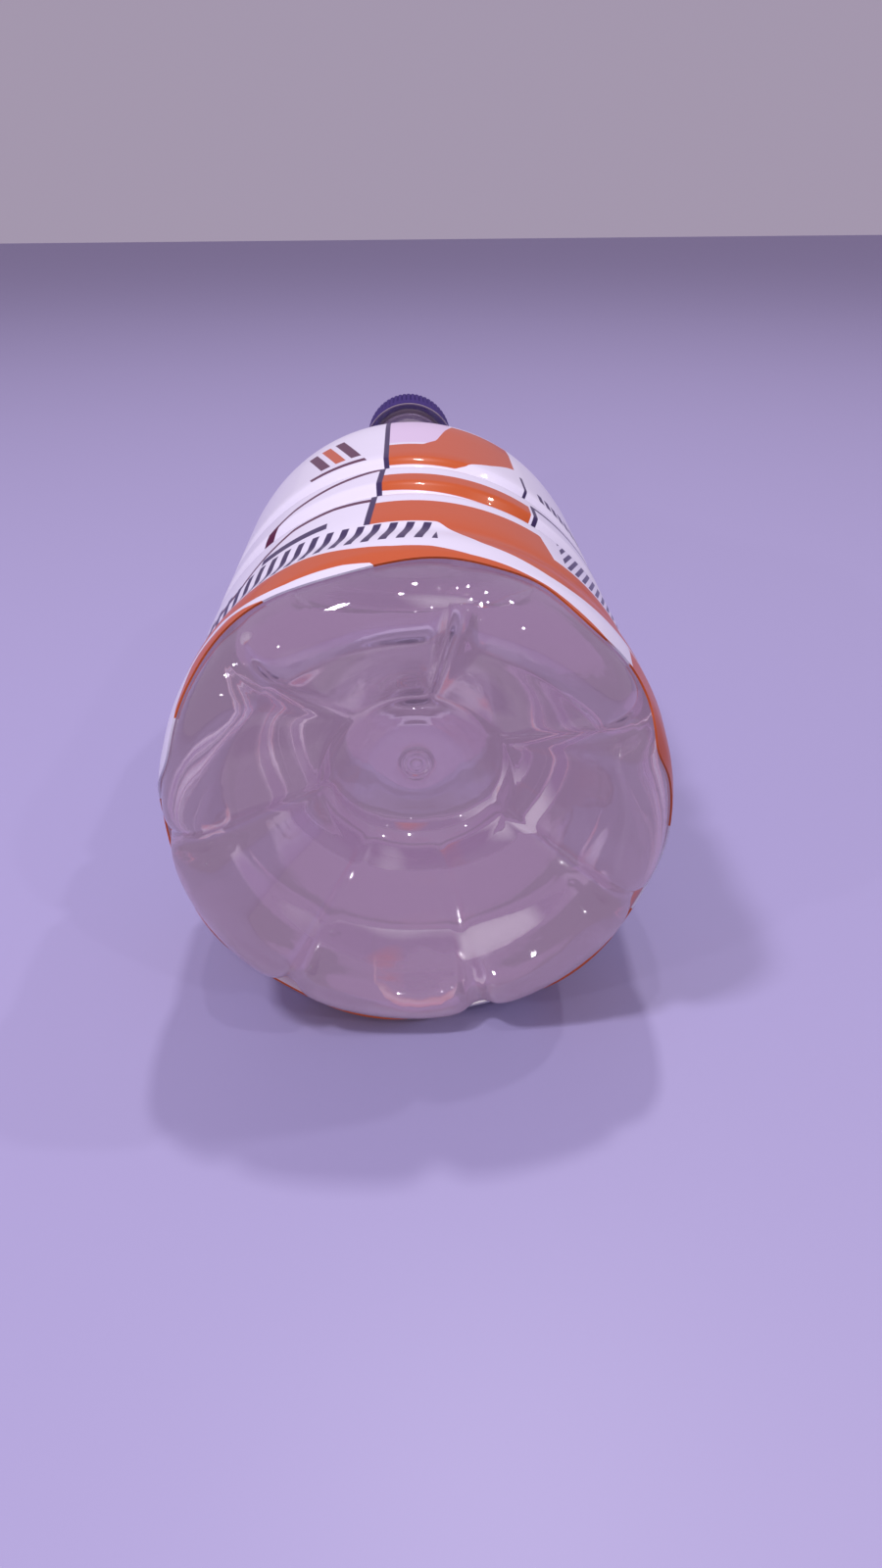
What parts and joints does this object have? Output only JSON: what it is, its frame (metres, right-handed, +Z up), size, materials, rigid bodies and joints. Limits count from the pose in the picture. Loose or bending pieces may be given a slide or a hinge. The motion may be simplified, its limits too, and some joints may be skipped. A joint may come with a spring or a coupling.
{
  "type": "full plastic drink bottle lying on its side",
  "caption": "Clear plastic drink bottle, full and shut, lying on its side: ribbed body in a printed sleeve, petal base with push-up, tapering shoulder, screw cap and tamper ring.",
  "frame": {"origin": "on the floor, under the middle of the bottle's box", "axes": "+Y along the bottle from its base to its cap, +Z up, +X to the right as the base is looked at"},
  "size_m": [0.0788, 0.29, 0.0785],
  "materials": {
    "clear_plastic": "clear blown PET, glossy, with small moulding marks",
    "drink": "clear liquid, very faintly cloudy",
    "printed_sleeve": "glossy shrink film, printed white, orange and navy",
    "cap_plastic": "moulded navy polyethylene, satin"
  },
  "bodies": {
    "root": {"bottle": "clear_plastic", "drink": "drink", "sleeve": "printed_sleeve", "cap": "cap_plastic", "tamper_ring": "cap_plastic"}
  },
  "joints": []
}
